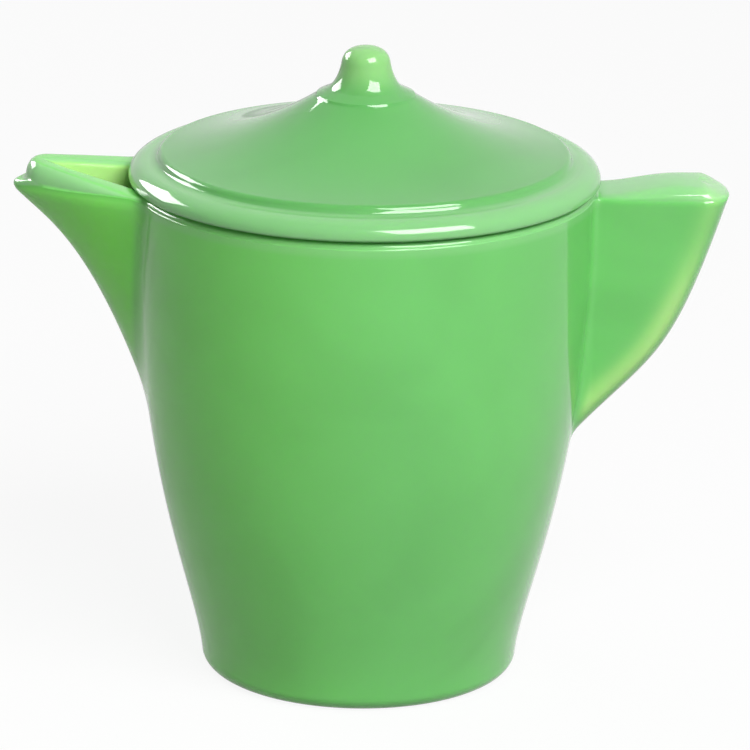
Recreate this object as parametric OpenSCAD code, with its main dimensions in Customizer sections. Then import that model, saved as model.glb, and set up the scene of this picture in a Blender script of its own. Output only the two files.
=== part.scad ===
// Toy teapot in pressed glass: a one-piece pot with an open spout and a solid
// wing handle, and a loose lid with a bell knob. The pot stands on z = 0 with
// its axis on Z, the spout points to -X and the handle to +X. Millimetres.

/* [Pot body] */
// Height of the pot, from the table to the rim that carries the lid
pot_h = 60; // [50:0.5:75]
// Outer radius at the rim
rim_r = 27.25; // [24:0.25:32]
// Outer radius at the foot
foot_r = 18.7; // [15:0.1:22]
// Radius that rounds the edge of the foot
foot_round = 1.8; // [0.5:0.1:3]
// Thickness of the wall at the rim
rim_wall = 3.2; // [2.6:0.1:4.5]
// Thickness of the wall just above the floor
foot_wall = 4.2; // [3:0.1:6]
// Thickness of the floor
floor_t = 4.4; // [3:0.1:8]
// Radius of the inside corner between the floor and the wall
floor_round = 5; // [2:0.5:8]
// Radius that rounds the outer edge of the rim
rim_round = 0.9; // [0.4:0.1:1.1]
// Radius that rounds the inner edge of the rim
mouth_round = 0.7; // [0.3:0.1:1]

/* [Spout] */
// Reach of the spout's nose from the axis of the pot
spout_reach = 41.4; // [38:0.1:46]
// Height of the lowest point of the spout, where its keel leaves the body
spout_low_z = 33; // [26:0.5:38]
// Depth of the nose, the tip of the keel, below the rim
nose_drop = 1.3; // [1:0.1:3]
// Half width of the spout where it springs from the inside of the wall
spout_half_w = 8.3; // [7:0.1:10]
// Depth of the mould line on the spout's sides below the rim
spout_line_drop = 0.5; // [0.3:0.1:1]
// Distance that the lip stands back from the nose
lip_step = 1.2; // [0.4:0.1:2]
// Width of the rounding on the lip's outer edge
lip_round = 2.4; // [1.5:0.1:3]
// Height that the lip gains from the edge of the lid to the nose
lip_rise = 1.9; // [0.5:0.1:3]
// Distance from the axis to the pointed end of the pouring channel
channel_reach = 38.2; // [35:0.1:40]
// Half width of the pouring channel where it meets the outside of the body
channel_half_w = 4.5; // [2.5:0.1:5]
// Downward slope of the pouring channel towards the pot, in degrees
channel_slope = 21; // [10:1:28]

/* [Handle] */
// Reach of the handle from the axis of the pot
handle_reach = 43; // [40:0.1:50]
// Height of the lowest point of the handle, where it leaves the body
handle_low_z = 28; // [20:0.5:34]
// Half width of the handle where it leaves the body
handle_root_half_w = 2.4; // [2:0.1:4]
// Largest half width of the handle
handle_half_w = 5.3; // [4.5:0.1:7]
// Distance of the widest place from the axis
handle_wide_x = 37.5; // [35:0.5:39]
// Depth of the mould line on the handle below the rim
handle_line_drop = 1.4; // [0.8:0.1:2]
// Height of the handle's domed top above its mould line
handle_dome = 1.2; // [0.8:0.1:2]
// Height that the mould line gains from the body to the end of the handle
handle_rise = 0.4; // [0:0.1:1.5]
// Width of the rounding on the edge of the domed top
handle_round = 2.2; // [1:0.1:3]

/* [Lid] */
// Outer radius of the lid's flange
flange_r = 27.85; // [25:0.05:33]
// Height of the flange, from the rim of the pot to the foot of the raised disc
flange_h = 2.3; // [1.8:0.1:4]
// Radius of the raised disc
disc_r = 24.4; // [20:0.1:26]
// Height of the raised disc above the flange
disc_h = 1.2; // [0.8:0.1:2]
// Radius of the ledge that the knob stands on
ledge_r = 5.82; // [5.2:0.01:8]
// Height of the middle of the ledge's edge above the rim of the pot
ledge_z = 10.3; // [8:0.1:13]
// Height of the whole lid above the rim of the pot
lid_h = 16.2; // [15:0.1:20]
// Radius of the knob just below its crown
knob_r = 2.85; // [2.2:0.05:3.4]
// Height of the knob's rounded crown
crown_h = 1.5; // [1:0.1:2]
// Gap between the locating ring under the lid and the mouth of the pot
lid_gap = 0.35; // [0.2:0.05:0.8]
// Depth of the locating ring below the rim of the pot
ring_depth = 2.2; // [1.5:0.1:4]
// Width of the locating ring
ring_w = 3; // [2:0.1:4]
// Height of the hollow under the lid above the rim of the pot
hollow_h = 3.6; // [2:0.1:4.5]

/* [Hidden] */
$fn = 96;
// Length that cuts run past the faces they open
over = 1;
// Faces round a small arc, along a curve, and round half an outline
arc_n = 6;
curve_n = 26;
half_n = 13;
ring_n = 15;
dome_n = 6;
knob_n = 13;

// The body's side leaves both the foot and the rim upright: shares of the gain
// in radius and of the height at the four control points of its curve
side_r_share = [0, 0, 1, 1];
side_z_share = [0, 0.145, 0.366, 1];

mouth_r = rim_r - rim_wall;
inner_foot_r = foot_r - foot_wall;

// The keel flares out of the body: shares of its reach and of its height
keel_x_share = [0, 0.46, 0.78, 1];
keel_z_share = [0, 0.79, 0.85, 1];
// Shares of the spout's half width at the control points along the keel
width_share = [0.3, 1.25, 1.04, 1];
// Roundness of the spout seen from above: 1 is a parabola, 2 an ellipse
spout_power = 1.45;
nose_z = pot_h - nose_drop;
spout_root_x = mouth_r - lip_round;
spout_line_z = pot_h - spout_line_drop;
// The lip springs from the mould line: the share of its step that the nose has
// already taken there, of its slope that the line has, of the line's drop that
// it starts above, and of the drop that its sides stand in
nose_step_share = 0.33;
line_slope_share = 0.17;
lip_foot_share = 0.1;
lip_side_share = 0.25;

// The handle's outer edge: shares of its reach and of its height
wing_x_share = [0, 0.56, 0.64, 1];
wing_z_share = [0, 0.39, 0.29, 1];
// Roundness of the handle's end seen from above, and the share of the widest
// place's distance to the end that is rounded at the bottom of the handle
end_power = 2.5;
low_end_share = 0.6;
handle_root_x = mouth_r - handle_round;
handle_line_z = pot_h - handle_line_drop;
end_round = handle_reach - handle_wide_x;

// The flange's edge is fullest low down: shares of its height
flange_edge_share = 0.36;
flange_low_share = 0.25;
flange_round = flange_h * (1 - flange_edge_share);
// Roundings of the disc's step and of the ledge's edge, as shares of the
// disc's height and of the ledge's radius, and the angle the ledge's spans
disc_round_share = 0.42;
ledge_round_share = 0.07;
ledge_angle = 60;
disc_round = disc_h * disc_round_share;
ledge_round = ledge_r * ledge_round_share;
// The cone is hollow-sided: shares of its run and of its fall at the bend
cone_bend_share = [0.42, 0.77];
// The knob's side: shares of its run out to the ledge and of its fall
knob_run_share = [0, 0.12, 0.37, 1];
knob_fall_share = [0, 0.525, 0.85, 1];
// The locating ring's rounded edges, as a share of its width
ring_round_share = 0.2;
ring_r = mouth_r - lid_gap;
ring_round = ring_w * ring_round_share;
hollow_r = ring_r - ring_w;

function bezier(a, b, c, d, t) =
    pow(1 - t, 3) * a + 3 * pow(1 - t, 2) * t * b + 3 * (1 - t) * t * t * c + pow(t, 3) * d;

// A value that follows four shares from one size to another
function follow(from, to, share, t) =
    from + (to - from) * bezier(share[0], share[1], share[2], share[3], t);

// Points of an elliptical arc, centre, the two radii, and the angles it spans
function arc(c, rx, ry, from, to) =
    [for (i = [0:arc_n])
        let (a = from + (to - from) * i / arc_n)
        [c[0] + rx * cos(a), c[1] + ry * sin(a)]];

// The side of the body or of its cavity, from one radius to another, between
// the roundings at its two ends
function side(from_r, to_r, low_z, high_z) =
    [for (i = [0:curve_n])
        let (t = i / curve_n, z = follow(0, pot_h, side_z_share, t))
        if (z > low_z && z < high_z)
            [follow(from_r, to_r, side_r_share, t), z]];

// Radius of that side at a height
function side_r(from_r, to_r, z) =
    lookup(z, [for (p = side(from_r, to_r, -over, pot_h + over)) [p[1], p[0]]]);

// A solid through a stack of rings that all have the same number of points
module loft(rings) {
    n = len(rings[0]);
    last = len(rings) - 1;
    skin = [for (k = [0:last - 1], i = [0:n - 1])
        let (j = (i + 1) % n, a = k * n + i, b = k * n + j)
        each [[a, a + n, b + n], [a, b + n, b]]];
    bottom = [for (i = [0:n - 1]) i];
    top = [for (i = [n - 1:-1:0]) last * n + i];
    polyhedron(points = [for (r = rings) each r], faces = concat([bottom], skin, [top]), convexity = 4);
}

// Half turns of the outline seen from above, from one side round to the other
half_turn = [for (i = [-half_n:half_n]) 90 * i / half_n];

// One ring of the spout: inset all round, stepped back at the nose, and tilted
function spout_ring(nose_x, half_w, z, tilt) =
    [for (a = half_turn)
        let (x = spout_root_x + (nose_x - spout_root_x) * pow(cos(a), 2 / spout_power))
        [-x, -half_w * sin(a), z + tilt * (x - flange_r)]];

function spout_side_rings() =
    [for (i = [0:ring_n])
        let (t = i / ring_n)
        spout_ring(
            follow(side_r(foot_r, rim_r, spout_low_z), spout_reach, keel_x_share, t),
            spout_half_w * bezier(width_share[0], width_share[1], width_share[2], width_share[3], t),
            follow(spout_low_z, nose_z, keel_z_share, t),
            0)];

function spout_lip_rings() =
    let (
        tip = spout_reach - lip_step,
        slope = lip_rise / (tip - flange_r),
        line_slope = slope * line_slope_share)
    concat(
        [spout_ring(spout_reach - lip_step * nose_step_share, spout_half_w, spout_line_z, 0)],
        [for (i = [0:dome_n])
            let (a = 90 * i / dome_n)
            spout_ring(
                tip - lip_round * (1 - cos(a)),
                spout_half_w - lip_round * (1 - cos(a)) - spout_line_drop * lip_side_share,
                spout_line_z + spout_line_drop * (lip_foot_share + (1 - lip_foot_share) * sin(a)),
                line_slope + (slope - line_slope) * sin(a))]);

module spout() {
    loft(concat(spout_side_rings(), spout_lip_rings()));
}

// The pouring channel: a cone laid on the slope with its point at the nose,
// opened upwards from its axis by a wedge of the same width
module channel() {
    length = channel_reach;
    plan = atan(channel_half_w / (channel_reach - rim_r));
    cone_angle = asin(sin(plan) * cos(channel_slope));
    channel_z = pot_h + lip_rise;
    translate([-channel_reach, 0, channel_z])
        rotate([0, 90 + channel_slope, 0])
            cylinder(h = length, r1 = 0, r2 = length * tan(cone_angle));
    intersection() {
        translate([-channel_reach, 0, 0])
            linear_extrude(channel_z + over)
                polygon([[0, 0], [length, -length * tan(plan)], [length, length * tan(plan)]]);
        translate([-channel_reach, 0, channel_z])
            rotate([90, 0, 0])
                translate([0, 0, -length])
                    linear_extrude(2 * length)
                        polygon([[0, 0], [length, -length * tan(channel_slope)], [length, over], [0, over]]);
    }
}

// Half width of the handle's side at a distance from the axis
function wing_half_w(x) =
    handle_half_w - (handle_half_w - handle_root_half_w)
        * pow(max(0, handle_wide_x - max(x, rim_r)) / (handle_wide_x - rim_r), 2);

// One ring of the handle: its sides swell outwards, and its end is rounded
function handle_ring(end_x, round, narrowing, z, tilt) =
    [for (a = half_turn)
        let (
            x = handle_root_x + (end_x - handle_root_x) * pow(cos(a), 2 / end_power),
            e = max(0, x - end_x + round) / round,
            y = narrowing * wing_half_w(x) * pow(max(0, 1 - pow(e, end_power)), 1 / end_power))
        [x, y * sign(a), z + tilt * (x - rim_r)]];

function handle_side_rings() =
    [for (i = [0:ring_n])
        let (t = i / ring_n)
        handle_ring(
            follow(mouth_r, handle_reach, wing_x_share, t),
            end_round * (low_end_share + (1 - low_end_share) * t),
            1,
            follow(handle_low_z, handle_line_z, wing_z_share, t),
            handle_rise / (handle_reach - rim_r) * t)];

function handle_dome_rings() =
    [for (i = [1:dome_n])
        let (a = 90 * i / dome_n, inset = handle_round * (1 - cos(a)))
        handle_ring(
            handle_reach - inset,
            end_round,
            1 - inset / handle_half_w,
            handle_line_z + handle_dome * sin(a),
            handle_rise / (handle_reach - rim_r))];

module handle() {
    loft(concat(handle_side_rings(), handle_dome_rings()));
}

module body() {
    low_r = side_r(foot_r, rim_r, foot_round);
    rotate_extrude()
        polygon(concat(
            [[0, 0]],
            arc([low_r - foot_round, foot_round], foot_round, foot_round, -90, 0),
            side(foot_r, rim_r, foot_round, pot_h - rim_round),
            arc([rim_r - rim_round, pot_h - rim_round], rim_round, rim_round, 0, 90),
            [[0, pot_h]]));
}

module cavity() {
    low_z = floor_t + floor_round;
    low_r = side_r(inner_foot_r, mouth_r, low_z);
    rotate_extrude()
        polygon(concat(
            [[0, floor_t]],
            arc([low_r - floor_round, low_z], floor_round, floor_round, -90, 0),
            side(inner_foot_r, mouth_r, low_z, pot_h - mouth_round),
            arc([mouth_r + mouth_round, pot_h - mouth_round], mouth_round, mouth_round, 180, 90),
            [[mouth_r + mouth_round, pot_h + over], [0, pot_h + over]]));
}

// Room for the lid's flange above the rim
module lid_seat() {
    translate([0, 0, pot_h])
        cylinder(h = lip_rise + over, r = flange_r + lid_gap);
}

module pot() {
    color("mediumseagreen")
        difference() {
            union() {
                body();
                spout();
                handle();
            }
            cavity();
            channel();
            lid_seat();
        }
}

// The lid's outline above the rim of the pot, from the top of the knob outwards
function knob_profile() =
    let (
        neck_z = lid_h - crown_h,
        foot_x = ledge_r - ledge_round,
        foot_z = ledge_z + ledge_round)
    concat(
        [for (i = [0:arc_n]) let (a = 90 - 90 * i / arc_n) [knob_r * cos(a), neck_z + crown_h * sin(a)]],
        [for (i = [1:knob_n])
            let (t = i / knob_n)
            [follow(knob_r, foot_x, knob_run_share, t), follow(neck_z, foot_z, knob_fall_share, t)]],
        arc([foot_x, ledge_z], ledge_round, ledge_round, ledge_angle, -ledge_angle));

function cone_profile() =
    let (
        end_r = disc_r - disc_round,
        end_z = flange_h + disc_h,
        top_z = ledge_z - ledge_round,
        bend_r = ledge_r + (end_r - ledge_r) * cone_bend_share[0],
        bend_z = top_z + (end_z - top_z) * cone_bend_share[1])
    [for (i = [0:curve_n])
        let (t = i / curve_n)
        [
            pow(1 - t, 2) * ledge_r + 2 * t * (1 - t) * bend_r + t * t * end_r,
            pow(1 - t, 2) * top_z + 2 * t * (1 - t) * bend_z + t * t * end_z]];

function flange_profile() =
    let (
        edge_z = flange_h * flange_edge_share,
        low_round = flange_h * flange_low_share)
    concat(
        arc([disc_r - disc_round, flange_h + disc_h - disc_round], disc_round, disc_round, 90, 0),
        arc([disc_r + disc_round, flange_h + disc_round], disc_round, disc_round, 180, 270),
        arc([flange_r - flange_round, edge_z], flange_round, flange_h - edge_z, 90, 0),
        arc([flange_r - low_round, low_round], low_round, low_round, 0, -90));

function underside_profile() =
    concat(
        [[ring_r, 0]],
        arc([ring_r - ring_round, ring_round - ring_depth], ring_round, ring_round, 0, -90),
        arc([hollow_r + ring_round, ring_round - ring_depth], ring_round, ring_round, 270, 180),
        [for (i = [0:knob_n])
            let (a = 90 * i / knob_n)
            [hollow_r * cos(a), hollow_h * sin(a)]]);

module lid() {
    color("lightgreen")
        translate([0, 0, pot_h])
            rotate_extrude()
                polygon(concat(
                    knob_profile(),
                    cone_profile(),
                    flange_profile(),
                    underside_profile()));
}

pot();
lid();
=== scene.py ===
import math

import bmesh
import bpy
import numpy as np
from bpy.props import FloatProperty, FloatVectorProperty, PointerProperty
from bpy.types import Operator, Panel, PropertyGroup
from mathutils import Matrix, Vector


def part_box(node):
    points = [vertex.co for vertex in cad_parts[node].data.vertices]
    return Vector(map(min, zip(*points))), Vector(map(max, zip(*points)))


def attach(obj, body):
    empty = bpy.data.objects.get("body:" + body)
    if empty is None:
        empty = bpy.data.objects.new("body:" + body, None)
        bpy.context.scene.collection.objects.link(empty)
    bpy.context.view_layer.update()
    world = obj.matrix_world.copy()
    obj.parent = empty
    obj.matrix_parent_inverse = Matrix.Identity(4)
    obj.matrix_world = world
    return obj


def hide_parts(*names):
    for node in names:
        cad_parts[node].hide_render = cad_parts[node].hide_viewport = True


bl_info = {
    "name": "Pressed glass toy teapot",
    "version": (1, 0, 0),
    "blender": (4, 5, 0),
    "location": "3D View > Sidebar > Teapot",
    "description": "Dresses the pot and the lid of a toy teapot in jade green glass",
    "category": "Add Mesh",
}

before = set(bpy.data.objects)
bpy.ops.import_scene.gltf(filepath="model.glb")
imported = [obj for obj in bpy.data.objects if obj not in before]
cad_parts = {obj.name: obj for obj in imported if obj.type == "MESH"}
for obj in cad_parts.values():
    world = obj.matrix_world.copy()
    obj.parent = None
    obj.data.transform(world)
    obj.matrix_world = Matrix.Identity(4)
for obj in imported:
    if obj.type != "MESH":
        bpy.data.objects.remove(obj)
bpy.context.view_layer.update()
POT_LOW, POT_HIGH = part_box("pot")
LID_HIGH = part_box("lid")[1]

MM = 0.001


def length(name, description, millimetres):
    return FloatProperty(
        name=name, description=description, default=millimetres * MM, unit="LENGTH")


def colour(name, description, value):
    return FloatVectorProperty(
        name=name, description=description, default=value, size=3, subtype="COLOR")


def angle(name, description, degrees):
    return FloatProperty(
        name=name, description=description, default=math.radians(degrees), subtype="ANGLE")


class TeapotBodySizes(PropertyGroup):
    height: length("Height", "Table to rim", 60)
    rim_r: length("Rim radius", "Outer radius at the rim", 27.3)
    foot_r: length("Foot radius", "Outer radius at the foot", 18.8)
    foot_round: length("Foot rounding", "Radius that rounds the edge of the foot", 1.8)
    rim_wall: length("Rim wall", "Thickness of the wall at the rim", 3.2)
    foot_wall: length("Foot wall", "Thickness of the wall just above the floor", 4.2)
    floor: length("Floor", "Thickness of the floor", 4.4)
    floor_round: length("Floor rounding", "Radius of the corner between floor and wall", 5)
    rim_round: length("Rim rounding", "Height of the rounding from the mould line to the rim", 0.9)
    mouth_round: length("Mouth rounding", "Radius that rounds the inner edge of the rim", 0.7)
    line_step: length("Mould line step", "Width of the step at the mould line", 0.05)
    fillet: length("Fillet", "Width of the fillets where spout and handle leave the body", 0.8)


class TeapotSpoutSizes(PropertyGroup):
    reach: length("Reach", "Axis to nose", -POT_LOW.x / MM)
    low_z: length("Low point", "Height at which the keel leaves the body", 33)
    nose_drop: length("Nose drop", "Depth of the nose below the rim", 1.3)
    half_w: length("Half width", "Half width where the spout springs from the wall", 10.1)
    keel_round: length("Keel rounding", "Rounding of the keel, seen from above", 0.8)
    root_depth: length("Root depth", "Distance of the outline's root inside the body", 5.6)
    lip_step: length("Lip step", "Distance that the lip stands back from the nose", 1.42)
    nose_bead: length("Nose bead", "Height of the bead on the nose", 0.75)
    lip_round: length("Lip rounding", "Width of the rounding on the lip's outer edge", 1.7)
    front_round: length("Front rounding", "Width of the rounding at the front of the lip", 1.4)
    edge_round: length("Inner rounding", "Width of the rounding on the lip's inner edge", 1.2)
    lip_start: length("Lip start", "Distance from the axis at which the lip begins to rise", 26.7)
    channel_reach: length("Channel reach", "Axis to the pointed end of the channel", 38.2)


class TeapotHandleSizes(PropertyGroup):
    reach: length("Reach", "Axis to the end of the handle", POT_HIGH.x / MM)
    low_z: length("Low point", "Height at which the handle leaves the body", 28)
    root_half_w: length("Root half width", "Half width where the handle leaves the body", 4)
    half_w: length("Half width", "Largest half width", 4.65)
    wide_x: length("Widest place", "Distance of the widest place from the axis", 34.5)
    end_round: length("End rounding", "Length of the rounding at the end of the handle", 3.2)
    dome: length("Dome", "Height of the domed top above the mould line", 1.72)
    root_dome: length("Root dome", "Height of the dome where the handle leaves the body", 0.2)
    dome_round: length("Dome rounding", "Width of the rounding on the edge of the top", 1.9)


class TeapotLidSizes(PropertyGroup):
    flange_r: length("Flange radius", "Outer radius of the flange", LID_HIGH.y / MM)
    bead_z: length("Bead middle", "Rim to the widest place of the flange", 0.55)
    bead_in: length("Bead width", "Half width of the flange's rounded bead", 2.4)
    bead_up: length("Bead height", "Height of the bead above its widest place", 1.93)
    under_round: length("Lower rounding", "Width of the rounding under the flange", 1.5)
    disc_r: length("Disc radius", "Radius of the raised disc at its foot", 24.5)
    disc_h: length("Disc height", "Height of the disc's sloping edge", 0.45)
    disc_slope: length("Disc edge width", "Width of the disc's sloping edge", 0.17)
    disc_round: length("Disc rounding", "Radius at the top of the disc's edge", 0.75)
    disc_foot: length("Disc foot", "Height of the disc's foot above the flange's bead", 0.16)
    ledge_r: length("Ledge radius", "Radius of the ledge that the knob stands on", 5.75)
    ledge_z: length("Ledge height", "Rim to the ledge's edge", 10.6)
    ledge_step: length("Ledge step", "Width and height of the step at the ledge's edge", 0.26)
    knob_foot_r: length("Knob foot radius", "Radius where the knob flares into the ledge", 4.4)
    knob_foot_z: length("Knob foot height", "Rim to the foot of the knob", 11.2)
    knob_r: length("Knob radius", "Radius of the knob's rounded crown", 2.92)
    crown_h: length("Crown height", "Height of the knob's rounded crown", 2.5)
    top: length("Height", "Rim to the top of the knob", (LID_HIGH.z - 60 * MM) / MM)
    ring_gap: length("Ring gap", "Locating ring to the mouth of the pot", 0.35)
    ring_depth: length("Ring depth", "Depth of the locating ring below the rim", 2.2)
    ring_w: length("Ring width", "Width of the locating ring", 3)
    ring_round: length("Ring rounding", "Radius of the ring's lower edges", 0.6)
    hollow_h: length("Hollow height", "Rim to the top of the hollow under the lid", 3.6)


class TeapotGlassLook(PropertyGroup):
    deep: colour("Deep green", "The pot's glass where it is thick", (0.16, 0.58, 0.14))
    # Painted light and shade: yellower spout sides where light comes through, and the painted
    # shade that saturates the left of the body
    spout: colour("Spout green", "The glass of the spout's sides", (0.21, 0.94, 0.065))
    # Painted sheen on rounded edges: the lip, the rim, the keel, the handle's top and the lid
    painted_sheen: colour("Pale green", "The glass along rounded edges", (0.31, 0.64, 0.29))
    # Painted light that comes through the glass: the channel, the handle's edge and the knob
    painted_glow: colour("Thin green", "The glass where light comes through", (0.44, 0.78, 0.25))
    lid: colour("Lid green", "The glass of the lid", (0.12, 0.43, 0.11))
    roughness: FloatProperty(
        name="Roughness", description="Roughness of the fire polish", default=0.07)


class TeapotStageLook(PropertyGroup):
    elevation: angle("Camera elevation", "Angle of the camera above the table", 17.371)
    roll: angle("Camera roll", "Turn of the camera about its own axis", 0.7788)
    distance: length("Camera distance", "Camera to the point that it looks at", 702.13)
    look_x: length("Look x", "Place along X of the point that the camera looks at", 1.54)
    look_z: length("Look z", "Height of the point that the camera looks at", 35.859)
    lens: FloatProperty(
        name="Lens", description="Focal length of the camera, in millimetres", default=282.93)


SETTINGS = {
    "teapot_body": TeapotBodySizes,
    "teapot_spout": TeapotSpoutSizes,
    "teapot_handle": TeapotHandleSizes,
    "teapot_lid": TeapotLidSizes,
    "teapot_glass": TeapotGlassLook,
    "teapot_stage": TeapotStageLook,
}

# Curves, as shares of their run at four control points. The body's side, in radius and height
SIDE_R_SHARES = (0, 0, 1, 1)
SIDE_Z_SHARES = (0, 0.145, 0.366, 1)
# The keel under the spout, and the spout's width along it
KEEL_X_SHARES = (0, 0.46, 0.78, 1)
KEEL_Z_SHARES = (0, 0.79, 0.85, 1)
SPOUT_WIDTH_SHARES = (0.95, 0.8, 0.95, 1)
# The outer edge of the handle
WING_X_SHARES = (0, 0.585, 0.645, 1)
WING_Z_SHARES = (0, 0.405, 0.305, 1)
# The knob's side from the crown to the ledge, and the cone from the ledge to the disc
KNOB_RUN_SHARES = (0, 0.134, 0.55, 1)
KNOB_FALL_SHARES = (0, 0.418, 0.861, 1)
CONE_RUN_SHARES = (0, 0.27, 0.59, 1)
CONE_FALL_SHARES = (0, 0.48, 0.84, 1)

# Powers of the rounded forms; 2 is an ellipse, and more is squarer. The spout has one along it
# and one across it, seen from above; END is the end of the handle
SPOUT_POWER = 1.35
SPOUT_SIDE_POWER = 1.15
END_POWER = 2.35
BEAD_POWER = 2.6
KNOB_POWER = 2.5

# The mould line: how far it climbs or falls, from which x to which
LINE_SPOUT_RISE = (0.65 * MM, -24.5 * MM, -27.5 * MM)
LINE_LIP_FALL = (0.3 * MM, -29 * MM, -38 * MM)
LINE_NOSE_FALL = (0.5 * MM, -38 * MM)
LINE_HANDLE_FALL = (0.15 * MM, 25.5 * MM, 31 * MM)

# Least length of the spout's outline, and how deep in the body the handle's may end
LEAST_SPOUT = 1 * MM
HANDLE_ROOT_DEPTH = 4 * MM
# The handle's width at its low point, as a share of that at the mould line
LOW_WIDTH_SHARE = 0.72
# Rounding of the lip's front corners, seen from above
STEP_CORNER = 1.6 * MM
# The lip's slope towards the nose, and the rounding where it begins
LIP_SLOPE = 0.18
LIP_EASE = 0.3 * MM
# Half width and depth of the channel per distance from its point, and how it narrows there
CHANNEL_WIDTH = 0.45
CHANNEL_DEPTH = 0.85
CHANNEL_POINT = (-1.5 * MM, 4 * MM)

# How outlines are followed: on rays between two radii, and in steps along them
CURVE_STEPS = np.linspace(0, 1, 600)
RAY_LOW, RAY_HIGH = 8 * MM, 30 * MM
RAY_HALVINGS = 26
WALK_STEP = 0.12 * MM
WALK_LIMIT = 300
WALK_CORRECTIONS = 2
TINY = 1e-6

# Points of half an outline: along the spout, round the body and along the handle
SPOUT_COUNT = 64
ARC_COUNT = 92
HANDLE_COUNT = 60
HANDLE_START = SPOUT_COUNT + ARC_COUNT - 2
# Angles from the plane of symmetry at which these three meet
SPOUT_SPLIT = math.radians(19)
CHANNEL_SPLIT = math.radians(17.5)
HANDLE_SPLIT = math.radians(8.5)

WELD = 0.0005 * MM


def bezier(shares, t):
    a, b, c, d = shares
    return (1 - t) ** 3 * a + 3 * (1 - t) ** 2 * t * b + 3 * (1 - t) * t**2 * c + t**3 * d


def mixed(low, high, share):
    return low + (high - low) * share


def between(low, high, shares, t):
    return mixed(low, high, bezier(shares, t))


def soft_step(x, start, end):
    """0 before start and 1 past end, whichever of the two is the greater."""
    t = np.clip((x - start) / (end - start), 0, 1)
    return t * t * (3 - 2 * t)


def eased(x, height, start, end):
    return height * soft_step(x, start, end)


def joined(a, b, width):
    """The nearer of two distances, rounded over where the two surfaces meet."""
    overlap = np.clip(width - np.abs(a - b), 0, None)
    return np.minimum(a, b) - overlap**2 / (4 * width)


def gains(field, x, y, z, nudge):
    """What a field gains across a nudge to either side, along x and along y."""
    along_x = field(x + nudge, y, z) - field(x - nudge, y, z)
    along_y = field(x, y + nudge, z) - field(x, y - nudge, z)
    return along_x, along_y


def outline_distance(shape, x, y, z):
    """Distance to the outline on which shape is 1, by the slope of shape there."""
    nudge = 0.001 * MM
    least_slope = 1e-3
    slope = np.hypot(*gains(shape, x, y, z, nudge)) / (2 * nudge)
    return (shape(x, y, z) - 1) / np.maximum(slope, least_slope)


class RoundSide:
    """A round side that widens from the table to the rim."""

    def __init__(self, body, foot_r, rim_r):
        self.body = body
        self.side_z = between(0, body.height, SIDE_Z_SHARES, CURVE_STEPS)
        self.side_r = between(foot_r, rim_r, SIDE_R_SHARES, CURVE_STEPS)

    def radius(self, z):
        return np.interp(z, self.side_z, self.side_r)


class OuterSkin(RoundSide):
    """The outside of the pot: body, spout and handle, as outlines seen from above."""

    def __init__(self, sizes, inset=0.0, lip_step=0.0):
        body, spout, handle = sizes.teapot_body, sizes.teapot_spout, sizes.teapot_handle
        super().__init__(body, body.foot_r, body.rim_r)
        self.spout = spout
        self.handle = handle
        self.inset = inset
        self.lip_step = lip_step
        t = CURVE_STEPS
        nose_z = body.height - spout.nose_drop
        inner_r = body.rim_r - body.rim_wall
        self.keel_z = between(spout.low_z, nose_z, KEEL_Z_SHARES, t)
        self.keel_x = between(self.radius(spout.low_z), spout.reach, KEEL_X_SHARES, t)
        self.wing_z = between(handle.low_z, self.line_z(handle.reach), WING_Z_SHARES, t)
        self.wing_x = between(inner_r, handle.reach, WING_X_SHARES, t)

    def past_low(self, z, curve_z, curve_x):
        """Reach of a curve at a height; below its low point it goes on with its first slope."""
        slope = (curve_x[1] - curve_x[0]) / (curve_z[1] - curve_z[0])
        return np.interp(z, curve_z, curve_x) + slope * np.minimum(z - curve_z[0], 0)

    def spout_shape(self, x, y, z):
        root = self.radius(z) - self.spout.root_depth
        reach = np.maximum(self.past_low(z, self.keel_z, self.keel_x), root + LEAST_SPOUT)
        t = np.interp(z, self.keel_z, CURVE_STEPS)
        half_w = self.spout.half_w * bezier(SPOUT_WIDTH_SHARES, t) - self.inset
        along = np.clip((-x - root) / (reach - root), TINY, None)
        across = np.hypot(y, self.spout.keel_round) - self.spout.keel_round
        return along**SPOUT_POWER + (across / half_w) ** SPOUT_SIDE_POWER

    def wing_half_w(self, x):
        handle, rim_r = self.handle, self.body.rim_r
        back = np.clip(handle.wide_x - np.maximum(x, rim_r), 0, None) / (handle.wide_x - rim_r)
        return mixed(handle.half_w, handle.root_half_w, back**2)

    def wing_end(self, z):
        return self.past_low(z, self.wing_z, self.wing_x)

    def handle_shape(self, x, y, z):
        end = np.maximum(self.wing_end(z), self.radius(z) - HANDLE_ROOT_DEPTH) - self.inset
        t = np.interp(z, self.wing_z, CURVE_STEPS)
        half_w = self.wing_half_w(x) * mixed(LOW_WIDTH_SHARE, 1, t) - self.inset
        past = np.clip((x - end) / self.handle.end_round + 1, 0, None)
        return (np.abs(y) / half_w) ** END_POWER + past**END_POWER

    def line_z(self, x):
        """Height of the mould line, which drops a little round the nose and on the handle."""
        spout = eased(x, *LINE_SPOUT_RISE) - eased(x, *LINE_LIP_FALL)
        nose = eased(x, *LINE_NOSE_FALL, -self.spout.reach)
        handle = eased(x, *LINE_HANDLE_FALL)
        return self.body.height - self.body.rim_round + spout - nose - handle

    def height(self, x, share):
        return share * self.line_z(x)

    def distance(self, x, y, share):
        z = self.height(x, share)
        body = np.hypot(x, y) - self.radius(z) + self.inset
        spout = outline_distance(self.spout_shape, x, y, z)
        if self.lip_step:
            past_front = -x - (self.spout.reach - self.lip_step)
            spout = -joined(-spout, -past_front, STEP_CORNER)
        handle = outline_distance(self.handle_shape, x, y, z)
        return joined(body, np.where(x < 0, spout, handle), self.body.fillet)


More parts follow.
